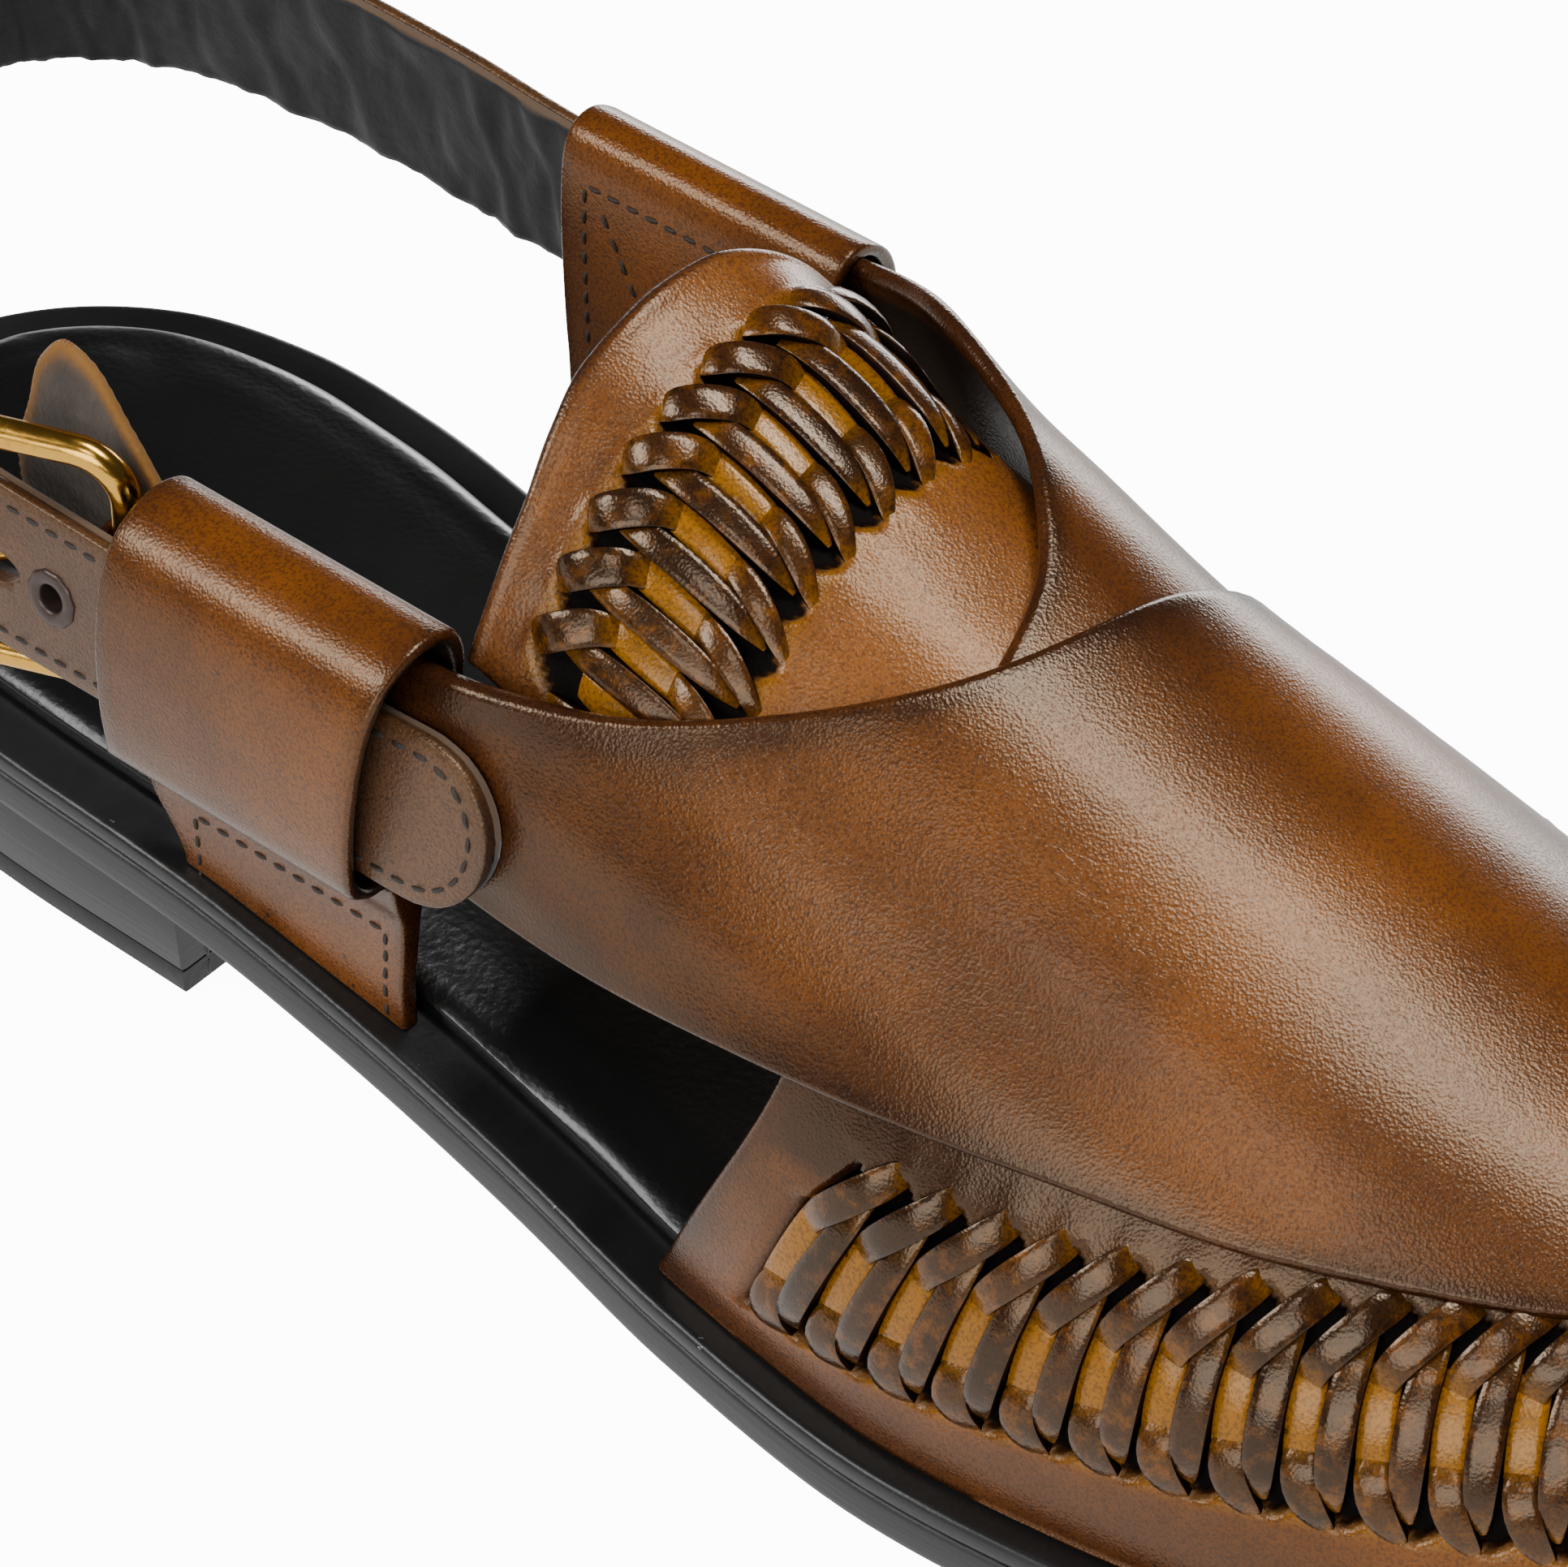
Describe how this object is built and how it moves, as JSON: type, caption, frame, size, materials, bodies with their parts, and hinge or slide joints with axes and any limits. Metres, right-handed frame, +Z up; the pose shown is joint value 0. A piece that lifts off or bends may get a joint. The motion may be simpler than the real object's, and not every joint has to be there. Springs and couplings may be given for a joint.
{
  "type": "peshawari chappal sandal",
  "caption": "Right leather sandal with two wide crossing straps, raised woven bands, a rounded woven tongue, side keepers and a buckled heel strap on a flat sole with a low heel.",
  "frame": {"origin": "on the floor under the middle of the heel's top piece, 30 mm ahead of the back of the sole", "axes": "+Y towards the toe, +X towards the outer side of the foot, +Z up"},
  "size_m": [0.1027, 0.3062, 0.0917],
  "materials": {
    "cognac_leather": "burnished cognac leather with a satin sheen",
    "ochre_weave_leather": "burnished ochre leather with woven strips",
    "black_insole_leather": "smooth glossy black leather over a soft pad",
    "black_sole_edge": "dyed and waxed leather edge",
    "black_rubber": "matt black rubber",
    "brass": "polished brass wire",
    "dark_eyelet": "darkened brass"
  },
  "bodies": {
    "root": {"outsole": "black_sole_edge", "welt": "black_sole_edge", "heel_stack": "black_sole_edge", "heel_top_piece": "black_rubber", "insole": "black_insole_leather", "upper": "cognac_leather", "tongue": "ochre_weave_leather", "keeper_outer_side": "cognac_leather", "keeper_inner_side": "cognac_leather", "back_strap": "cognac_leather", "eyelet_1": "dark_eyelet", "eyelet_2": "dark_eyelet", "buckle_frame": "brass", "buckle_prong": "brass", "buckle_chape": "cognac_leather", "buckle_guard": "cognac_leather"}
  },
  "joints": []
}
